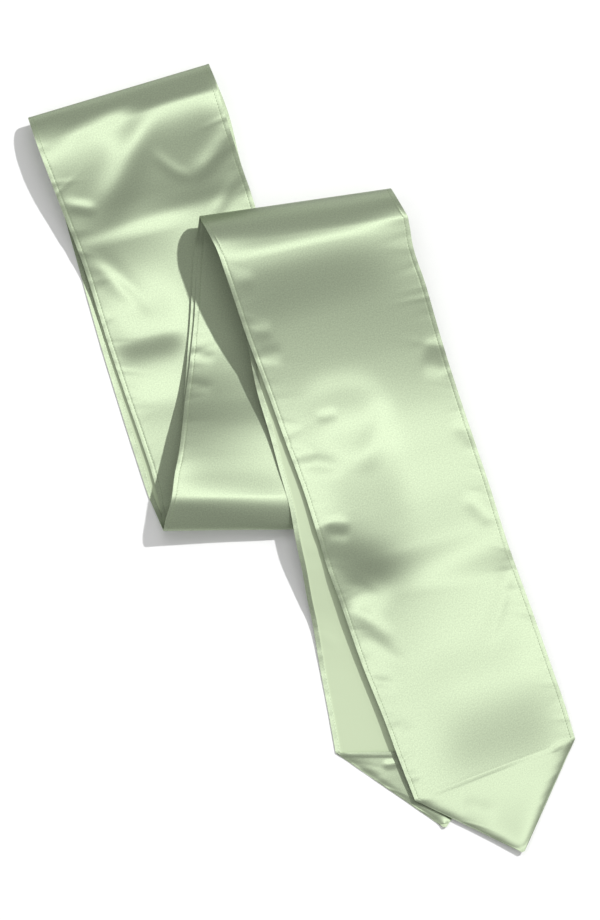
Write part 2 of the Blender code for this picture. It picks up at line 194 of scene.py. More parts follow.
FRONT_CREASES = [
    Crease(-70, 150, 78, 180, 3, 3.4, 19, 34),
    Crease(-2, 38, 66, 48, 10, 0.5, 13, 18),
    Crease(64, 46, 44, -10, 3, 0.6, 10, 10),
    Crease(14, -8, 82, 6, 0, 2.3, 30, 40),
    Crease(-4, -2, 32, -7, 0, -0.6, 8, 7),
    Crease(4, -70, 66, -112, 0, -3.2, 20, 14),
    Crease(62, -112, 200, -92, 0, 4.6, 32, 85),
    Crease(92, -200, 204, -176, 0, 3.6, 46, 50),
    Crease(96, 92, 116, 88, 0, 0.35, 8, 8),
    Crease(94, 76, 118, 72, 0, -0.4, 8, 8),
    Crease(16, -52, 38, -52, 0, 0.35, 4, 5),
    Crease(18, -60, 38, -62, 0, -0.45, 5, 5),
    Crease(120, 28, 138, 14, 0, 0.3, 5, 6),
    Crease(130, -30, 150, -52, 0, 0.4, 5, 6),
    Crease(-56, 140, -38, 142, 0, 0.3, 6, 6),
    Crease(-42, 100, -24, 102, 0, 0.4, 6, 6),
    Crease(-38, 82, -16, 84, 0, -0.4, 6, 6),
    Crease(10, 32, 28, 36, 0, 0.3, 4, 5),
    Crease(-12, 2, 10, 0, 0, 0.3, 4, 5),
    Crease(30, -92, 64, -108, 2, 0.35, 7, 7),
    Crease(32, -108, 62, -126, 2, -0.22, 6, 6),
    Crease(38, -122, 72, -146, 2, 0.45, 6, 6),
    Crease(42, -138, 84, -170, 2, -0.4, 6, 7),
    Crease(52, -176, 74, -182, 0, 0.3, 4, 4),
    Crease(64, -214, 92, -222, 0, 0.3, 7, 8),
    Crease(80, -254, 94, -254, 0, 0.3, 4, 4),
    Crease(165, -80, 149, -148, 2, 0.5, 5, 7),
    Crease(92, -274, 212, -231, 0, -0.12, 2.5, 2.5),
    Crease(198, -234, 208, -228, 0, 0.25, 2, 2),
    Crease(128, -276, 154, -286, 0, 0.4, 8, 8),
]
REVERSE_CREASES = [
    Crease(12, -138, 28, -152, 0, 0.4, 5, 5),
    Crease(2, -70, 14, -74, 0, 0.4, 6, 6),
]
# The share of a crease's half length at which about a third of its height is left.
CREASE_FADE = 0.85

# The mesh of the cloth: the steps between two of the given lines, the lowest that the middle of
# the cloth may lie, the length of a turn for each millimetre of its reach, the places across a hem,
# the place where the even spacing starts, the spacing of the plies that hardly show, and the angle
# past which an edge is sharp.
STEPS_PER_LINE = 24
LOWEST_MIDDLE = 0.5
TURN_LENGTH = 2.6
HEM_PLACES = [0.0, 0.5, 1.4, 2.4, 3.2, 3.6, 4.0, 4.5, 5.4, 6.6]
MIDDLE_START = 8.2
BACK_REVERSE_GRID = 4.0
MIDDLE_REVERSE_GRID = 3.0
FRONT_REVERSE_GRID = 2.2
SHARP_ANGLE = math.radians(65)

# The puckers of the hems, as ranges to draw from: the gap from one to the next, half the width,
# how far they run in from the edge, how far they slant and their share of the full height. The
# ways are down and up. The seeds are those of the bottom ply and the top ply of each run.
PUCKER_GAP = (7.0, 19.0)
PUCKER_HALF = (1.8, 4.0)
PUCKER_REACH = (6.0, 22.0)
PUCKER_SLANT = (-0.5, 0.5)
PUCKER_SHARE = (0.2, 1.0)
PUCKER_WAYS = (-0.6, 1.0)
BACK_SEEDS = (11, 12)
MIDDLE_SEEDS = (21, 22)
FRONT_SEEDS = (31, 32)

# The relief of the hems: how softly the turned edge ends, the depth of the groove that the stitches
# pull in, its distance inside the turned edge and its width, the height of the swell beside it, how
# many times its distance from the cloth's edge goes into the hem's width, its own width, and the
# share of this relief that the wrong side follows.
HEM_SOFTNESS = 0.18
GROOVE_DEPTH = 0.20
GROOVE_INSET = 0.4
GROOVE_WIDTH = 0.45
SWELL_HEIGHT = 0.10
SWELL_PART = 2.2
SWELL_WIDTH = 1.3
WRONG_SIDE_SHARE = 0.3

# The points: half the width of a blunt tip, the angle of the edges to the strip, the width over
# which they roll down, the share of the point's length over which the roll sets in, and the lowest
# that the middle of the cloth may then lie. For each point: its tip, how far its edges roll down,
# how far its tip curls up and how far back the curl reaches.
BLUNT_TIP = 1.2
POINT_ANGLE = math.radians(45)
ROLL_WIDTH = 3.0
ROLL_START = 0.08
LOWEST_EDGE = 1.0
Point = namedtuple("Point", "tip rolled curl reach")
REVERSE_POINT = Point((113.6, -295.2, 0.5), 0.0, 2.4, 10.0)
FACE_POINT = Point((176.1, -314.8, 1.9), 1.5, 4.0, 105.0)

# The facings: how far they lie off the cloth, their bare border, the share of the point's length
# where they end, the width of their hem, how far it rises and how softly, how far inside its edge
# the stitches run, how many places stay unsewn at each end, the spacing of the mesh, and the angle
# of the weave to the strip. For each facing: the share of the point's length at which its right
# corner starts, how far it puffs up between its sewn edges, and its creases.
FACING_GAP = 0.1
FACING_BORDER = 0.8
FACING_END = 0.96
FACING_HEM = 5.0
FACING_HEM_RISE = 0.3
FACING_HEM_SOFTNESS = 0.3
FACING_STITCH_INSET = 0.8
FACING_UNSEWN = 2
FACING_GRID = 1.4
FACING_BIAS = math.radians(4.0)
Facing = namedtuple("Facing", "start_right puff creases")
REVERSE_FACING = Facing(0.267, 0.4, [
    Crease(64, -246, 78, -243, 0, 0.5, 2.5, 3),
    Crease(40, -240, 58, -262, 0, -0.35, 6, 6),
])
FRONT_FACING = Facing(0.05, 0.0, [])

# The stitches: how deep they sink into the cloth, and the sides, rings and radius of the ball that
# each is stretched from.
STITCH_SINK = 0.12
STITCH_SIDES = 6
STITCH_RINGS = 5
STITCH_RADIUS = 0.5

# The finishes: how often the yarns of each side repeat in a metre across and along the strip, the
# strength and the height of their relief, the detail of their noise, and the slubs of the right
# side: how often they repeat, their detail, the tone of the darkest and the part of the noise that
# shades them. Then the matt wrong side, and the thread with its twist.
FACE_YARNS = (2600.0, 420.0, 1.0)
FACE_RELIEF = (0.15, 0.06 * MM)
WRONG_YARNS = (900.0, 2200.0, 1.0)
WRONG_RELIEF = (0.35, 0.1 * MM)
YARN_DETAIL = 2.0
SLUB_SCALE = 900.0
SLUB_DETAIL = 1.0
SLUB_TONE = (0.82, 0.82, 0.82, 1.0)
SLUB_RANGE = (0.3, 0.7)
WRONG_ROUGHNESS = 0.75
WRONG_SHEEN = 0.3
WRONG_SHEEN_ROUGHNESS = 0.4
TWIST_SCALE = 2500.0
TWIST_SHADE = 0.35
THREAD_ROUGHNESS = 0.6

# The stage. In metres: half the floor's side with its tone and roughness, the way the key light
# shines with the angle it spans, the size and the place of the overhead light, and the camera's
# height. In millimetres: the camera's sensor, the height of its view, and the view's centre.
FLOOR_HALF = 3.0
FLOOR_TONE = (0.93, 0.93, 0.93, 1.0)
FLOOR_ROUGHNESS = 0.9
KEY_WAY = (-1.0, -1.0, -1.41)
KEY_ANGLE = math.radians(1.6)
OVERHEAD_SIZE = (2.5, 1.5)
OVERHEAD_PLACE = (0.0, 1.8, 3.0)
CAMERA_HEIGHT = 8.0
SENSOR_HEIGHT = 36.0
VIEW_HEIGHT = 736.0
VIEW_CENTRE = (-2.4, -1.6)


class SashCloth(bpy.types.PropertyGroup):
    thickness: FloatProperty(
        name="Thickness",
        description="How thick the satin is",
        default=0.4 * MM,
        subtype="DISTANCE",
        unit="LENGTH",
        precision=5,
    )
    hem_width: FloatProperty(
        name="Hem width",
        description="Width of the turned hem along both long edges",
        default=4.0 * MM,
        subtype="DISTANCE",
        unit="LENGTH",
        precision=5,
    )
    hem_proud: FloatProperty(
        name="Hem thickness",
        description="How far the turned hem stands out on the wrong side",
        default=0.5 * MM,
        subtype="DISTANCE",
        unit="LENGTH",
        precision=5,
    )
    pucker_height: FloatProperty(
        name="Hem pucker",
        description="How high the hems pucker along their stitches",
        default=0.2 * MM,
        subtype="DISTANCE",
        unit="LENGTH",
        precision=5,
    )
    grid: FloatProperty(
        name="Grid",
        description="Spacing of the cloth's mesh where it shows",
        default=1.7 * MM,
        subtype="DISTANCE",
        unit="LENGTH",
        precision=5,
    )


class SashStitches(bpy.types.PropertyGroup):
    inset: FloatProperty(
        name="Stitch line",
        description="Distance of the line of stitches from the edge of the cloth",
        default=3.6 * MM,
        subtype="DISTANCE",
        unit="LENGTH",
        precision=5,
    )
    pitch: FloatProperty(
        name="Stitch pitch",
        description="Distance from one stitch to the next",
        default=2.7 * MM,
        subtype="DISTANCE",
        unit="LENGTH",
        precision=5,
    )
    length: FloatProperty(
        name="Stitch length",
        description="Length of the thread that shows at each stitch",
        default=2.1 * MM,
        subtype="DISTANCE",
        unit="LENGTH",
        precision=5,
    )
    thread: FloatProperty(
        name="Thread",
        description="Thickness of the sewing thread",
        default=0.4 * MM,
        subtype="DISTANCE",
        unit="LENGTH",
        precision=5,
    )


class SashColours(bpy.types.PropertyGroup):
    satin: FloatVectorProperty(
        name="Satin",
        description="Colour of the right side",
        subtype="COLOR",
        size=4,
        min=0.0,
        max=1.0,
        default=(0.505, 0.590, 0.418, 1.0),
    )
    wrong_side: FloatVectorProperty(
        name="Wrong side",
        description="Colour of the wrong side",
        subtype="COLOR",
        size=4,
        min=0.0,
        max=1.0,
        default=(0.325, 0.407, 0.242, 1.0),
    )
    thread: FloatVectorProperty(
        name="Thread colour",
        description="Colour of the sewing thread",
        subtype="COLOR",
        size=4,
        min=0.0,
        max=1.0,
        default=(0.38, 0.47, 0.29, 1.0),
    )
    roughness: FloatProperty(
        name="Satin roughness",
        description="How much the right side spreads its highlights",
        default=0.67,
        min=0.0,
        max=1.0,
    )
    metal: FloatProperty(
        name="Satin gloss",
        description="How much of the right side's light comes from its highlights",
        default=0.8,
        min=0.0,
        max=1.0,
    )
    lean: FloatProperty(
        name="Lean of the floats",
        description="How far the satin's floats lean along the strip, which moves the highlights along it",
        default=math.radians(12.5),
        subtype="ANGLE",
        unit="ROTATION",
    )


class SashLight(bpy.types.PropertyGroup):
    sun: FloatProperty(
        name="Key light",
        description="Strength of the key light that draws the shadows",
        default=2.4,
        min=0.0,
    )
    overhead: FloatProperty(
        name="Overhead light",
        description="Power of the soft light above the sash",
        default=16.0,
        min=0.0,
        unit="POWER",
    )
    ambient: FloatProperty(
        name="Room light",
        description="Strength of the light from the room",
        default=0.52,
        min=0.0,
    )


def smooth_lines(lines):
    """Lines added between the given ones, on a smooth curve through all of them."""
    rows = np.array(lines, dtype=float)
    ends = np.vstack([2 * rows[0] - rows[1], rows, 2 * rows[-1] - rows[-2]])
    curve = []
    for index in range(len(rows) - 1):
        first, second, third, fourth = ends[index:index + 4]
        for step in range(STEPS_PER_LINE):
            t = step / STEPS_PER_LINE
            curve.append(0.5 * (
                2 * second
                + (third - first) * t
                + (2 * first - 5 * second + 4 * third - fourth) * t ** 2
                + (3 * second - first - 3 * third + fourth) * t ** 3
            ))
    curve.append(rows[-1])
    curve = np.array(curve)
    curve[:, [2, 5]] = np.maximum(curve[:, [2, 5]], LOWEST_MIDDLE)
    return curve


def across_places(grid):
    """Places across the strip, in millimetres from its left edge, closer together at the hems."""
    end = STRIP_WIDTH - MIDDLE_START
    middle = np.linspace(MIDDLE_START, end, int((end - MIDDLE_START) / grid) + 1)
    right_hem = [STRIP_WIDTH - place for place in reversed(HEM_PLACES)]
    return np.concatenate([HEM_PLACES, middle, right_hem])


def spread(lines, across):
    """The points of a run: one row for each line, one column for each place across."""
    left = lines[:, None, 0:3]
    right = lines[:, None, 3:6]
    return left + (right - left) * (across / STRIP_WIDTH)[None, :, None]


def distance_along(points):
    """Distance along each column of points, from the first row."""
    steps = np.linalg.norm(np.diff(points, axis=0), axis=2)
    return np.vstack([np.zeros(points.shape[1]), np.cumsum(steps, axis=0)])


def places_at(stops, distance, column):
    """Places on a column of points at the given stops, from the distance of each of its points."""
    return np.stack([np.interp(stops, distance, axis) for axis in column.T], axis=-1)


def run_points(lines, start, end, grid, across):
    """The part of a run that begins and ends the given distances short of its crests."""
    fine = spread(smooth_lines(lines), across)
    distance = distance_along(fine[:, :, :2])
    length = distance[-1]
    rows = int(np.mean(length) / grid) + 1
    share = np.linspace(0.0, 1.0, rows)
    columns = []
    for column in range(fine.shape[1]):
        stops = start + share * (length[column] - end - start)
        columns.append(places_at(stops, distance[:, column], fine[:, column]))
    return np.stack(columns, axis=1)


def turn_points(upper, lower, turn, grid, across):
    """The points of a turn, from the end of the lower run round the crest to the upper run."""
    share = across / STRIP_WIDTH
    crest_z = turn.crest_left_z + (turn.crest_right_z - turn.crest_left_z) * share
    sides = []
    for lines in (lower, upper):
        fine = spread(smooth_lines(lines), across)
        distance = distance_along(fine[:, :, :2])
        ends = [
            places_at(turn.reach, distance[:, column], fine[:, column]) for column in range(len(across))
        ]
        crest = np.column_stack([fine[0, :, :2], crest_z])
        sides.append((crest, np.array(ends)))
    rows = int(turn.reach * TURN_LENGTH / grid) + 1
    points = []
    for angle in np.linspace(-math.pi / 2, math.pi / 2, rows):
        crest, end = sides[1] if angle >= 0 else sides[0]
        place = crest[:, :2] + (end[:, :2] - crest[:, :2]) * (1 - math.cos(angle))
        height = crest[:, 2] + (end[:, 2] - crest[:, 2]) * abs(math.sin(angle))
        points.append(np.column_stack([place, height]))
    return np.array(points)


def point_rows(shoulder, tip, grid, across):
    """Rows from the shoulder of a point, whose two edges run straight to its tip."""
    left, right = shoulder[0], shoulder[-1]
    tip = np.array(tip)
    unit = (right - left) / np.linalg.norm(right - left)
    blunt = unit * BLUNT_TIP
    reach = np.linalg.norm(tip - (left + right) / 2)
    rows = []
    for share in np.linspace(0.0, 1.0, int(reach / grid) + 1)[1:]:
        row_left = left + (tip - blunt - left) * share
        row_right = right + (tip + blunt - right) * share
        rows.append(row_left + (row_right - row_left) * (across / STRIP_WIDTH)[:, None])
    return np.array(rows)


def wall_normals(points):
    """Unit normals of a grid of points."""
    normals = np.cross(np.gradient(points, axis=0), np.gradient(points, axis=1))
    return normals / np.maximum(np.linalg.norm(normals, axis=2, keepdims=True), 1e-9)


def crease_height(points, creases):
    """How far the creases lift each point."""
    height = np.zeros(points.shape[:2])
    for crease in creases:
        start = np.array([crease.x1, crease.y1])
        heading = np.array([crease.x2, crease.y2]) - start
        length = np.linalg.norm(heading)
        heading = heading / length
        offset = points[:, :, :2] - start
        forward = (offset @ heading) / length
        aside = offset[:, :, 1] * heading[0] - offset[:, :, 0] * heading[1]
        aside = aside - crease.bow * 4 * forward * (1 - forward)
        width = np.where(aside > 0, crease.left, crease.right)
        fade = np.exp(-((2 * forward - 1) / CREASE_FADE) ** 4)
        height += crease.height * fade * np.exp(-(aside / width) ** 2)
    return height


def pucker_height(distance, across, height, seed):
    """Small ridges that run in from both hems, unevenly spaced along the stitches."""
    random = np.random.default_rng(seed)
    result = np.zeros(distance.shape)
    for from_edge in (across[None, :], (STRIP_WIDTH - across)[None, :]):
        place = distance.min()
        while place < distance.max():
            place += random.uniform(*PUCKER_GAP)
            half = random.uniform(*PUCKER_HALF)
            reach = random.uniform(*PUCKER_REACH)
            slant = random.uniform(*PUCKER_SLANT)
            lift = height * random.uniform(*PUCKER_SHARE) * random.choice(PUCKER_WAYS)
            ridge = np.exp(-((distance - place - slant * from_edge) / half) ** 2)
            fade = np.exp(-(from_edge / reach) ** 2)
            result += lift * ridge * fade
    return result


def upward(normals):
    """The same normals, turned so that most of the cloth faces up."""
    return -normals if normals[len(normals) // 2:, :, 2].mean() < 0 else normals


def cloth_sides(points, normals, edge, hemmed):
    """Where the satin side and the wrong side of a wall of cloth lie, with the relief of its hems."""
    cloth = bpy.context.scene.sash_cloth
    half = cloth.thickness / MM / 2
    hem_width = cloth.hem_width / MM
    turned = 1.0 / (1.0 + np.exp((edge - hem_width) / HEM_SOFTNESS))
    hem = cloth.hem_proud / MM * (hemmed[:, None] * turned[None, :])[:, :, None]
    groove = GROOVE_DEPTH * np.exp(-((edge - hem_width + GROOVE_INSET) / GROOVE_WIDTH) ** 2)
    swell = SWELL_HEIGHT * np.exp(-((edge - hem_width / SWELL_PART) / SWELL_WIDTH) ** 2)
    relief = (hemmed[:, None] * (swell - groove)[None, :])[:, :, None]
    satin = points + normals * (half + relief)
    reverse = points - normals * (half + hem - relief * WRONG_SIDE_SHARE)
    return satin, reverse


def cloth_faces(rows, columns):
    """The faces of a closed wall of cloth: its satin side, its wrong side and its rim."""
    count = rows * columns
    index = np.arange(count).reshape(rows, columns)
    corners = [index[:-1, :-1], index[1:, :-1], index[1:, 1:], index[:-1, 1:]]
    satin = np.stack(corners, axis=-1).reshape(-1, 4)
    border = np.concatenate([index[:, 0], index[-1, 1:], index[-2::-1, -1], index[0, -2:0:-1]])
    following = np.roll(border, -1)
    rim = np.stack([border, border + count, following + count, following], axis=-1)
    return satin, satin[:, ::-1] + count, rim


def map_strip(mesh, distance, across, bias):
    """Give the cloth its own UV map, in metres across the strip and along it."""
    width = np.broadcast_to(across[None, :], distance.shape)
    length = np.broadcast_to(distance.mean(axis=1)[:, None], distance.shape)
    flat = np.stack([width, length], axis=-1).reshape(-1, 2) * MM
    flat = flat @ np.array([[math.cos(bias), -math.sin(bias)], [math.sin(bias), math.cos(bias)]])
    both_sides = np.concatenate([flat, flat])
    loops = np.empty(len(mesh.loops), dtype=int)
    mesh.loops.foreach_get("vertex_index", loops)
    uv = mesh.uv_layers.new(name="strip")
    uv.data.foreach_set("uv", both_sides[loops].ravel())


def cloth_mesh(name, points, distance, across, satin_up, hemmed, bias=0.0):
    """A thin closed wall of cloth about a grid of points, with its hems on the wrong side.

    hemmed is the share of the hem that each row of points has, and bias is the angle at which the
    weave lies to the strip.
    """
    normals = upward(wall_normals(points)) * (1.0 if satin_up else -1.0)
    edge = np.minimum(across, STRIP_WIDTH - across)
    shift = np.array([*PLAN_CENTRE, 0.0])
    sides = [(side - shift).reshape(-1, 3) for side in cloth_sides(points, normals, edge, hemmed)]
    satin, wrong, rim = cloth_faces(*points.shape[:2])
    mesh = bpy.data.meshes.new(name)
    mesh.from_pydata(np.concatenate(sides) * MM, [], np.concatenate([satin, wrong, rim]))

    in_hem = (edge[:-1] + edge[1:]) / 2 < bpy.context.scene.sash_cloth.hem_width / MM
    turned_in = (hemmed[:-1, None] > 0.5) & in_hem[None, :]
    slots = np.concatenate([np.zeros(len(satin)), ~turned_in.ravel(), np.zeros(len(rim))])
    mesh.polygons.foreach_set("material_index", slots.astype(int))
    map_strip(mesh, distance, across, bias)
    mesh.update()
    facing_out = np.array([polygon.normal for polygon in mesh.polygons[:len(satin)]])
    if (facing_out * normals[:-1, :-1].reshape(-1, 3)).sum() < 0:
        mesh.flip_normals()
    mesh.shade_smooth()
    mesh.set_sharp_from_angle(angle=SHARP_ANGLE)
    for material in cloth_materials():
        mesh.materials.append(material)
    piece = bpy.data.objects.new(name, mesh)
    bpy.context.scene.collection.objects.link(piece)
    return piece


def lean_of_floats(material, lean):
    """The tangent across the strip, and normals that lean along it as a satin's long floats do."""
    nodes = material.node_tree.nodes
    links = material.node_tree.links
    across = nodes.new("ShaderNodeTangent")
    across.direction_type = "UV_MAP"
    across.uv_map = "strip"
    surface = nodes.new("ShaderNodeNewGeometry")
    along_strip = nodes.new("ShaderNodeVectorMath")
    along_strip.operation = "CROSS_PRODUCT"
    links.new(surface.outputs["Normal"], along_strip.inputs[0])
    links.new(across.outputs["Tangent"], along_strip.inputs[1])
    step = nodes.new("ShaderNodeVectorMath")
    step.operation = "SCALE"
    step.inputs["Scale"].default_value = math.tan(lean)
    links.new(along_strip.outputs["Vector"], step.inputs[0])
    leaning = nodes.new("ShaderNodeVectorMath")
    leaning.operation = "ADD"
    links.new(surface.outputs["Normal"], leaning.inputs[0])
    links.new(step.outputs["Vector"], leaning.inputs[1])
    unit = nodes.new("ShaderNodeVectorMath")
    unit.operation = "NORMALIZE"
    links.new(leaning.outputs["Vector"], unit.inputs[0])
    return across.outputs["Tangent"], unit.outputs["Vector"]


def plain_material(name):
    """A new material with its nodes, its links and its shader."""
    material = bpy.data.materials.new(name)
    material.use_nodes = True
    nodes = material.node_tree.nodes
    return material, nodes, material.node_tree.links, nodes["Principled BSDF"]


def weave_relief(material, yarns, relief):
    """The fine relief of the yarns: the nodes that map the strip and that bump its surface."""
    nodes = material.node_tree.nodes
    links = material.node_tree.links
    strip = nodes.new("ShaderNodeUVMap")
    strip.uv_map = "strip"
    stretch = nodes.new("ShaderNodeMapping")
    stretch.inputs["Scale"].default_value = yarns
    links.new(strip.outputs["UV"], stretch.inputs["Vector"])
    weave = nodes.new("ShaderNodeTexNoise")
    weave.inputs["Scale"].default_value = 1.0
    weave.inputs["Detail"].default_value = YARN_DETAIL
    links.new(stretch.outputs["Vector"], weave.inputs["Vector"])
    bump = nodes.new("ShaderNodeBump")
    bump.inputs["Strength"].default_value, bump.inputs["Distance"].default_value = relief
    links.new(weave.outputs["Fac"], bump.inputs["Height"])
    links.new(bump.outputs["Normal"], nodes["Principled BSDF"].inputs["Normal"])
    return strip, bump


def shaded_by(material, colour, share, shade):
    """Colour the material, multiplied in the given share by a socket's shade."""
    nodes = material.node_tree.nodes
    links = material.node_tree.links
    tone = nodes.new("ShaderNodeMixRGB")
    tone.blend_type = "MULTIPLY"
    tone.inputs["Fac"].default_value = share
    tone.inputs["Color1"].default_value = colour
    links.new(shade, tone.inputs["Color2"])
    links.new(tone.outputs["Color"], nodes["Principled BSDF"].inputs["Base Color"])


def satin_face_material():
    """Glossy right side: long floats along the strip, which spread highlights across it."""
    colours = bpy.context.scene.sash_colours
    material, nodes, links, shader = plain_material("satin_right_side")
    tangent, leaning = lean_of_floats(material, colours.lean)
    links.new(tangent, shader.inputs["Tangent"])
    strip, bump = weave_relief(material, FACE_YARNS, FACE_RELIEF)
    links.new(leaning, bump.inputs["Normal"])

    slub = nodes.new("ShaderNodeTexNoise")
    slub.inputs["Scale"].default_value = SLUB_SCALE
    slub.inputs["Detail"].default_value = SLUB_DETAIL
    links.new(strip.outputs["UV"], slub.inputs["Vector"])
    ramp = nodes.new("ShaderNodeValToRGB")
    darkest, lightest = ramp.color_ramp.elements
    darkest.position, lightest.position = SLUB_RANGE
    darkest.color = SLUB_TONE
    lightest.color = (1.0, 1.0, 1.0, 1.0)
    links.new(slub.outputs["Fac"], ramp.inputs["Fac"])
    shaded_by(material, colours.satin, 1.0, ramp.outputs["Color"])

    shader.inputs["Metallic"].default_value = colours.metal
    shader.inputs["Roughness"].default_value = colours.roughness
    shader.inputs["Anisotropic"].default_value = 1.0
    return material


def wrong_side_material():
    """Matt wrong side of the satin, with its short crossing yarns."""
    material, _, _, shader = plain_material("satin_wrong_side")
    weave_relief(material, WRONG_YARNS, WRONG_RELIEF)
    shader.inputs["Base Color"].default_value = bpy.context.scene.sash_colours.wrong_side
    shader.inputs["Roughness"].default_value = WRONG_ROUGHNESS
    shader.inputs["Sheen Weight"].default_value = WRONG_SHEEN
    shader.inputs["Sheen Roughness"].default_value = WRONG_SHEEN_ROUGHNESS
    return material


def thread_material():
    """Matt sewing thread with a twist."""
    material, nodes, links, shader = plain_material("sewing_thread")
    place = nodes.new("ShaderNodeTexCoord")
    twist = nodes.new("ShaderNodeTexNoise")
    twist.inputs["Scale"].default_value = TWIST_SCALE
    links.new(place.outputs["Object"], twist.inputs["Vector"])
    colour = bpy.context.scene.sash_colours.thread
    shaded_by(material, colour, TWIST_SHADE, twist.outputs["Color"])
    shader.inputs["Roughness"].default_value = THREAD_ROUGHNESS
    return material


def cloth_materials():
    """The two sides of the satin, made once."""
    satin = bpy.data.materials.get("satin_right_side") or satin_face_material()
    wrong = bpy.data.materials.get("satin_wrong_side") or wrong_side_material()
    return [satin, wrong]


def shape_point(points, tip_rows, point):
    """Roll the sewn edges of a point down, and curl its tip up."""
    share = np.linspace(0.0, 1.0, tip_rows + 1)[1:, None]
    end = points[-tip_rows:]
    tip = (points[-1, 0] + points[-1, -1]) / 2
    roll = np.zeros(end.shape[:2])
    for corner in (points[-tip_rows - 1, 0], points[-tip_rows - 1, -1]):
        edge = (tip - corner)[:2]
        edge = edge / np.linalg.norm(edge)
        offset = end[:, :, :2] - corner[:2]
        aside = np.abs(offset[:, :, 0] * edge[1] - offset[:, :, 1] * edge[0])
        roll += np.exp(-aside / ROLL_WIDTH)
    room = np.clip(end[:, :, 2] - LOWEST_EDGE, 0.0, point.rolled)
    end[:, :, 2] -= np.minimum(roll, 1.0) * np.minimum(share / ROLL_START, 1.0) * room
    from_tip = np.linalg.norm(end[:, :, :2] - tip[:2], axis=2)
    end[:, :, 2] += point.curl * np.clip(1.0 - from_tip / point.reach, 0.0, 1.0) ** 2


def stitch_tree():
    """Nodes that set stitches one after another along lines, and where each of their inputs is."""
    tree = bpy.data.node_groups.new("row_of_stitches", "GeometryNodeTree")
    tree.interface.new_socket("Lines", in_out="INPUT", socket_type="NodeSocketGeometry")
    inputs = {}
    for label, kind in (
        ("Pitch", "NodeSocketFloat"),
        ("Length", "NodeSocketFloat"),
        ("Thread", "NodeSocketFloat"),
        ("Material", "NodeSocketMaterial"),
    ):
        socket = tree.interface.new_socket(label, in_out="INPUT", socket_type=kind)
        inputs[label] = socket.identifier
    tree.interface.new_socket("Stitches", in_out="OUTPUT", socket_type="NodeSocketGeometry")

    nodes = tree.nodes
    links = tree.links
    given = nodes.new("NodeGroupInput")
    made = nodes.new("NodeGroupOutput")
    curve = nodes.new("GeometryNodeMeshToCurve")
    links.new(given.outputs["Lines"], curve.inputs["Mesh"])
    places = nodes.new("GeometryNodeCurveToPoints")
    places.mode = "LENGTH"
    links.new(curve.outputs["Curve"], places.inputs["Curve"])
    links.new(given.outputs["Pitch"], places.inputs["Length"])
    stitch = nodes.new("GeometryNodeMeshUVSphere")
    stitch.inputs["Segments"].default_value = STITCH_SIDES
    stitch.inputs["Rings"].default_value = STITCH_RINGS
    stitch.inputs["Radius"].default_value = STITCH_RADIUS
    size = nodes.new("ShaderNodeCombineXYZ")
    links.new(given.outputs["Thread"], size.inputs["X"])
    links.new(given.outputs["Thread"], size.inputs["Y"])
    links.new(given.outputs["Length"], size.inputs["Z"])
    sewn = nodes.new("GeometryNodeInstanceOnPoints")
    links.new(places.outputs["Points"], sewn.inputs["Points"])
    links.new(stitch.outputs["Mesh"], sewn.inputs["Instance"])
    links.new(places.outputs["Rotation"], sewn.inputs["Rotation"])
    links.new(size.outputs["Vector"], sewn.inputs["Scale"])
    real = nodes.new("GeometryNodeRealizeInstances")
    links.new(sewn.outputs["Instances"], real.inputs["Geometry"])
    finish = nodes.new("GeometryNodeSetMaterial")
    links.new(real.outputs["Geometry"], finish.inputs["Geometry"])
    links.new(given.outputs["Material"], finish.inputs["Material"])
    links.new(finish.outputs["Geometry"], made.inputs["Stitches"])
    return tree, inputs


def sew(name, lines):
    """Stitches along the given lines of places, as one plain mesh."""
    stitches = bpy.context.scene.sash_stitches
    vertices = []
    edges = []
    for line in lines:
        first = len(vertices)
        vertices.extend(tuple(place) for place in line)
        edges.extend((first + step, first + step + 1) for step in range(len(line) - 1))
    guide_mesh = bpy.data.meshes.new(name + "_lines")
    guide_mesh.from_pydata(vertices, edges, [])
    guide = bpy.data.objects.new(name + "_lines", guide_mesh)
    bpy.context.scene.collection.objects.link(guide)
    tree, inputs = stitch_tree()
    modifier = guide.modifiers.new("Stitches", "NODES")
    modifier.node_group = tree
    modifier[inputs["Pitch"]] = stitches.pitch
    modifier[inputs["Length"]] = stitches.length
    modifier[inputs["Thread"]] = stitches.thread
    thread = bpy.data.materials.get("sewing_thread") or thread_material()
    modifier[inputs["Material"]] = thread
    evaluated = guide.evaluated_get(bpy.context.evaluated_depsgraph_get())
    mesh = bpy.data.meshes.new_from_object(evaluated)
    guide.modifiers.clear()
    bpy.data.objects.remove(guide)
    mesh.shade_smooth()
    piece = bpy.data.objects.new(name, mesh)
    bpy.context.scene.collection.objects.link(piece)
    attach(piece, "root")
    return piece


# A ply as it was laid: its piece, its grid of points, their places across, its rows in the point,
# its length, and whether its satin side is up.
Ply = namedtuple("Ply", "piece points across tip_rows length satin_up")


def hem_lines(ply):
    """The lines of stitches along both hems of a ply, sunk a little into the side that faces up."""
    cloth = bpy.context.scene.sash_cloth
    stitches = bpy.context.scene.sash_stitches
    lift = cloth.thickness / MM / 2
    lift += -STITCH_SINK if ply.satin_up else cloth.hem_proud / MM - STITCH_SINK
    raised = ply.points + upward(wall_normals(ply.points)) * lift - np.array([*PLAN_CENTRE, 0.0])
    hemmed = raised[:len(raised) - ply.tip_rows] * MM
    inset = stitches.inset / MM
    columns = [np.argmin(np.abs(ply.across - place)) for place in (inset, STRIP_WIDTH - inset)]
    return [hemmed[:, column] for column in columns]


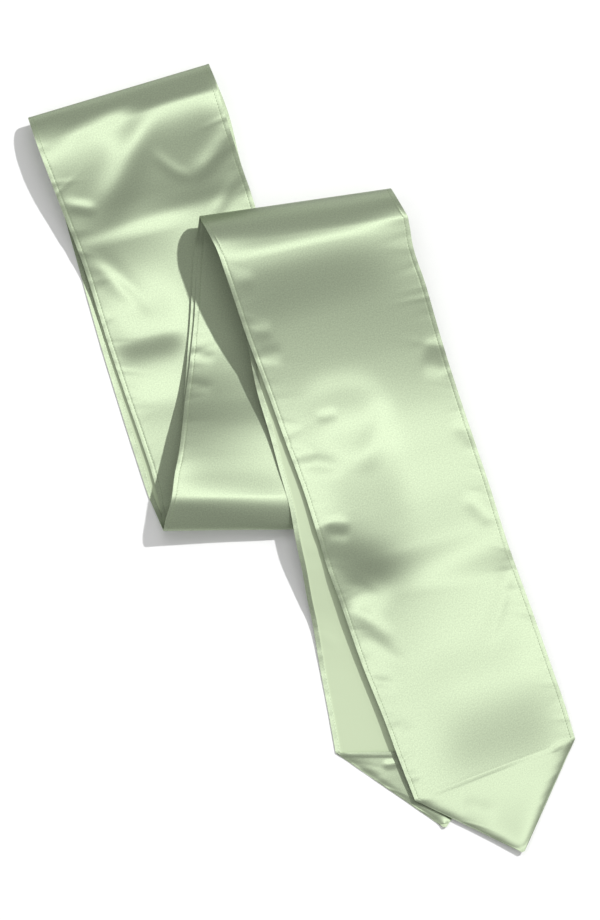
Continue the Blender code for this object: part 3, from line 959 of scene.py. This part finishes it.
def lay_ply(
    name, lines, turn, partner, end, creases, satin_up, nodes, seed, grid=None, point=None
):
    """One ply of a run with the turn that it starts from, as a thin wall of cloth.

    partner holds the lines of the run at the other end of that turn, and end is how far short of
    the last crest the ply stops.
    """
    cloth = bpy.context.scene.sash_cloth
    grid = grid or cloth.grid / MM
    across = across_places(grid)
    points = run_points(lines, turn.reach, end, grid, across)
    turned = 0
    if partner is not None:
        loop = turn_points(lines, partner, turn, grid, across)
        turned = len(loop)
        points = np.concatenate([loop[:-1], points])
    tip_rows = 0
    if point is not None:
        end_rows = point_rows(points[-1], point.tip, grid, across)
        tip_rows = len(end_rows)
        points = np.concatenate([points, end_rows])
    lift = crease_height(points, creases)
    lift += pucker_height(distance_along(points), across, cloth.pucker_height / MM, seed)
    if turned:
        round_turn = np.linspace(-1.0, 1.0, turned)
        lift[:turned] *= np.sqrt(np.clip(round_turn, 0.0, 1.0))[:, None]
    points = points + upward(wall_normals(points)) * lift[:, :, None]
    hemmed = np.ones(len(points))
    if point is not None:
        shape_point(points, tip_rows, point)
        hemmed[-tip_rows:] = 0.0
    distance = distance_along(points)
    piece = cloth_mesh(name, points, distance, across, satin_up, hemmed)
    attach(piece, "root")
    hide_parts(*nodes)
    return Ply(piece, points, across, tip_rows, float(distance[-1].mean()) * MM, satin_up)


def lay_facing(name, ply, node, facing):
    """A triangle of satin sewn into the wrong side of a point, and the line of its hem's stitches."""
    cloth = bpy.context.scene.sash_cloth
    side = -1.0 if ply.satin_up else 1.0
    end = ply.points[-ply.tip_rows - 1:]
    normals = upward(wall_normals(end))
    share = np.linspace(0.0, 1.0, len(end))
    width = np.linalg.norm(end[:, -1] - end[:, 0], axis=1)
    places = np.linspace(0.0, 1.0, int(STRIP_WIDTH / FACING_GRID) + 1)
    steps = np.linspace(0.0, 1.0, int(STRIP_WIDTH / 2 / FACING_GRID) + 1)
    start = facing.start_right * places[None, :]
    down = start + (FACING_END - start) * steps[:, None]
    local_width = np.interp(down, share, width)
    inner = FACING_BORDER + (local_width - 2 * FACING_BORDER) * places[None, :]
    column = np.interp(inner / local_width * STRIP_WIDTH, ply.across, np.arange(len(ply.across)))
    row = down * ply.tip_rows
    points = between(end, row, column)
    normals = between(normals, row, column)
    from_edge = np.minimum(places, 1.0 - places)[None, :] * local_width * math.cos(POINT_ANGLE)
    from_hem = distance_along(points)
    lift = cloth.thickness / MM + FACING_GAP
    lift += facing.puff * (1.0 - np.exp(-(from_edge / ROLL_WIDTH) ** 2))
    lift += FACING_HEM_RISE / (1.0 + np.exp((from_hem - FACING_HEM) / FACING_HEM_SOFTNESS))
    lift += crease_height(points, facing.creases)
    points = points + normals * side * lift[:, :, None]
    across = places * STRIP_WIDTH
    distance = distance_along(points)
    piece = cloth_mesh(
        name, points, distance, across, not ply.satin_up, np.zeros(len(points)), bias=FACING_BIAS
    )
    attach(piece, "root")
    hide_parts(node)
    strips = np.linalg.norm(points[:, -1] - points[:, 0], axis=1)
    area = float((strips[1:] + strips[:-1]).sum() / 2 * np.diff(distance, axis=0).mean()) * MM ** 2
    height = float(distance[-1, len(places) // 2]) * MM
    line = np.argmin(np.abs(from_hem - (FACING_HEM - FACING_STITCH_INSET)), axis=0)
    proud = cloth.thickness / MM / 2 - STITCH_SINK
    sewn = points[line, np.arange(len(places))] + normals[0] * side * proud
    stitches = (sewn - np.array([*PLAN_CENTRE, 0.0]))[FACING_UNSEWN:-FACING_UNSEWN] * MM
    return piece, height, area, stitches


def between(grid, row, column):
    """Values of a grid at places between its rows and columns."""
    above = np.clip(np.floor(row).astype(int), 0, grid.shape[0] - 2)
    before = np.clip(np.floor(column).astype(int), 0, grid.shape[1] - 2)
    down = (row - above)[:, :, None]
    right = (column - before)[:, :, None]
    upper = grid[above, before] * (1 - right) + grid[above, before + 1] * right
    lower = grid[above + 1, before] * (1 - right) + grid[above + 1, before + 1] * right
    return upper * (1 - down) + lower * down


class SASH_OT_back_run(bpy.types.Operator):
    """Lay the back run and the far fold"""

    bl_idname = "sash.back_run"
    bl_label = "Back run"

    def execute(self, context):
        bottom_seed, top_seed = BACK_SEEDS
        reverse = lay_ply(
            "back_reverse", BACK_REVERSE, FAR_TURN, None, NEAR_OUTER_TURN.reach, [], False,
            ["back_run_reverse"], bottom_seed, grid=BACK_REVERSE_GRID,
        )
        face = lay_ply(
            "back_face", BACK_FACE, FAR_TURN, BACK_REVERSE, NEAR_INNER_TURN.reach, BACK_CREASES, True,
            ["back_run_face", "far_fold"], top_seed,
        )
        stitches = sew("back_stitches", hem_lines(reverse) + hem_lines(face))
        return {"FINISHED"}


class SASH_OT_middle_run(bpy.types.Operator):
    """Lay the middle run and the near fold"""

    bl_idname = "sash.middle_run"
    bl_label = "Middle run"

    def execute(self, context):
        bottom_seed, top_seed = MIDDLE_SEEDS
        reverse = lay_ply(
            "middle_reverse", MIDDLE_REVERSE[::-1], NEAR_INNER_TURN, BACK_FACE[::-1],
            TOP_OUTER_TURN.reach, [], False, ["middle_run_reverse", "near_fold_inner"],
            bottom_seed, grid=MIDDLE_REVERSE_GRID,
        )
        face = lay_ply(
            "middle_face", MIDDLE_FACE, NEAR_OUTER_TURN, BACK_REVERSE[::-1], TOP_INNER_TURN.reach,
            MIDDLE_CREASES, True, ["middle_run_face", "near_fold_outer"], top_seed,
        )
        stitches = sew("middle_stitches", hem_lines(reverse) + hem_lines(face))
        return {"FINISHED"}


class SASH_OT_front_run(bpy.types.Operator):
    """Lay the front run, the top fold, the two points and their facings"""

    bl_idname = "sash.front_run"
    bl_label = "Front run"

    def execute(self, context):
        bottom_seed, top_seed = FRONT_SEEDS
        reverse = lay_ply(
            "front_reverse", FRONT_REVERSE, TOP_INNER_TURN, MIDDLE_FACE[::-1], 0.0, REVERSE_CREASES,
            False, ["front_run_reverse", "top_fold_inner"], bottom_seed,
            grid=FRONT_REVERSE_GRID, point=REVERSE_POINT,
        )
        face = lay_ply(
            "front_face", FRONT_FACE, TOP_OUTER_TURN, MIDDLE_REVERSE, 0.0, FRONT_CREASES, True,
            ["front_run_face", "top_fold_outer"], top_seed, point=FACE_POINT,
        )
        lines = hem_lines(reverse) + hem_lines(face)
        for name, ply, node, facing in (
            ("reverse_facing", reverse, "reverse_point_facing", REVERSE_FACING),
            ("front_facing", face, "front_point_facing", FRONT_FACING),
        ):
            piece, height, area, line = lay_facing(name, ply, node, facing)
            lines.append(line)
        stitches = sew("front_stitches", lines)
        return {"FINISHED"}


class SASH_OT_stage(bpy.types.Operator):
    """Set the floor, the lights and the camera"""

    bl_idname = "sash.stage"
    bl_label = "Stage"

    def execute(self, context):
        light = context.scene.sash_light
        floor_mesh = bpy.data.meshes.new("floor")
        half = FLOOR_HALF
        corners = [(-half, -half, 0.0), (half, -half, 0.0), (half, half, 0.0), (-half, half, 0.0)]
        floor_mesh.from_pydata(corners, [], [(0, 1, 2, 3)])
        floor = bpy.data.objects.new("floor", floor_mesh)
        context.scene.collection.objects.link(floor)
        pale, _, _, shader = plain_material("pale_floor")
        shader.inputs["Base Color"].default_value = FLOOR_TONE
        shader.inputs["Roughness"].default_value = FLOOR_ROUGHNESS
        shader.inputs["Specular IOR Level"].default_value = 0.0
        floor_mesh.materials.append(pale)

        sun = bpy.data.lights.new("key_light", "SUN")
        sun.energy = light.sun
        sun.angle = KEY_ANGLE
        key = bpy.data.objects.new("key_light", sun)
        key.rotation_euler = Vector(KEY_WAY).to_track_quat("-Z", "Y").to_euler()
        context.scene.collection.objects.link(key)

        soft = bpy.data.lights.new("overhead_light", "AREA")
        soft.energy = light.overhead
        soft.shape = "RECTANGLE"
        soft.size, soft.size_y = OVERHEAD_SIZE
        above = bpy.data.objects.new("overhead_light", soft)
        above.location = OVERHEAD_PLACE
        above.rotation_euler = (-Vector(OVERHEAD_PLACE)).to_track_quat("-Z", "Y").to_euler()
        context.scene.collection.objects.link(above)

        world = bpy.data.worlds.new("room")
        world.use_nodes = True
        background = world.node_tree.nodes["Background"]
        background.inputs["Color"].default_value = (1.0, 1.0, 1.0, 1.0)
        background.inputs["Strength"].default_value = light.ambient
        context.scene.world = world
        context.scene.view_settings.view_transform = "Standard"

        lens = bpy.data.cameras.new("camera")
        lens.sensor_fit = "VERTICAL"
        lens.sensor_height = SENSOR_HEIGHT
        lens.lens = CAMERA_HEIGHT * SENSOR_HEIGHT / (VIEW_HEIGHT * MM)
        camera = bpy.data.objects.new("camera", lens)
        x, y = (np.array(VIEW_CENTRE) - PLAN_CENTRE) * MM
        camera.location = (x, y, CAMERA_HEIGHT)
        context.scene.collection.objects.link(camera)
        context.scene.camera = camera
        return {"FINISHED"}


class SASH_PT_panel(bpy.types.Panel):
    bl_idname = "SASH_PT_panel"
    bl_label = "Folded Satin Sash"
    bl_space_type = "VIEW_3D"
    bl_region_type = "UI"
    bl_category = "Sash"

    def draw(self, context):
        layout = self.layout
        for operator in OPERATORS:
            layout.operator(operator.bl_idname)


OPERATORS = (SASH_OT_stage, SASH_OT_back_run, SASH_OT_middle_run, SASH_OT_front_run)
CLASSES = (SashCloth, SashStitches, SashColours, SashLight, *OPERATORS, SASH_PT_panel)


def register():
    for entry in CLASSES:
        bpy.utils.register_class(entry)
    bpy.types.Scene.sash_cloth = PointerProperty(type=SashCloth)
    bpy.types.Scene.sash_stitches = PointerProperty(type=SashStitches)
    bpy.types.Scene.sash_colours = PointerProperty(type=SashColours)
    bpy.types.Scene.sash_light = PointerProperty(type=SashLight)


def unregister():
    del bpy.types.Scene.sash_light
    del bpy.types.Scene.sash_colours
    del bpy.types.Scene.sash_stitches
    del bpy.types.Scene.sash_cloth
    for entry in reversed(CLASSES):
        bpy.utils.unregister_class(entry)


def main():
    register()
    bpy.ops.sash.stage()
    bpy.ops.sash.back_run()
    bpy.ops.sash.middle_run()
    bpy.ops.sash.front_run()


if __name__ == "__main__":
    main()
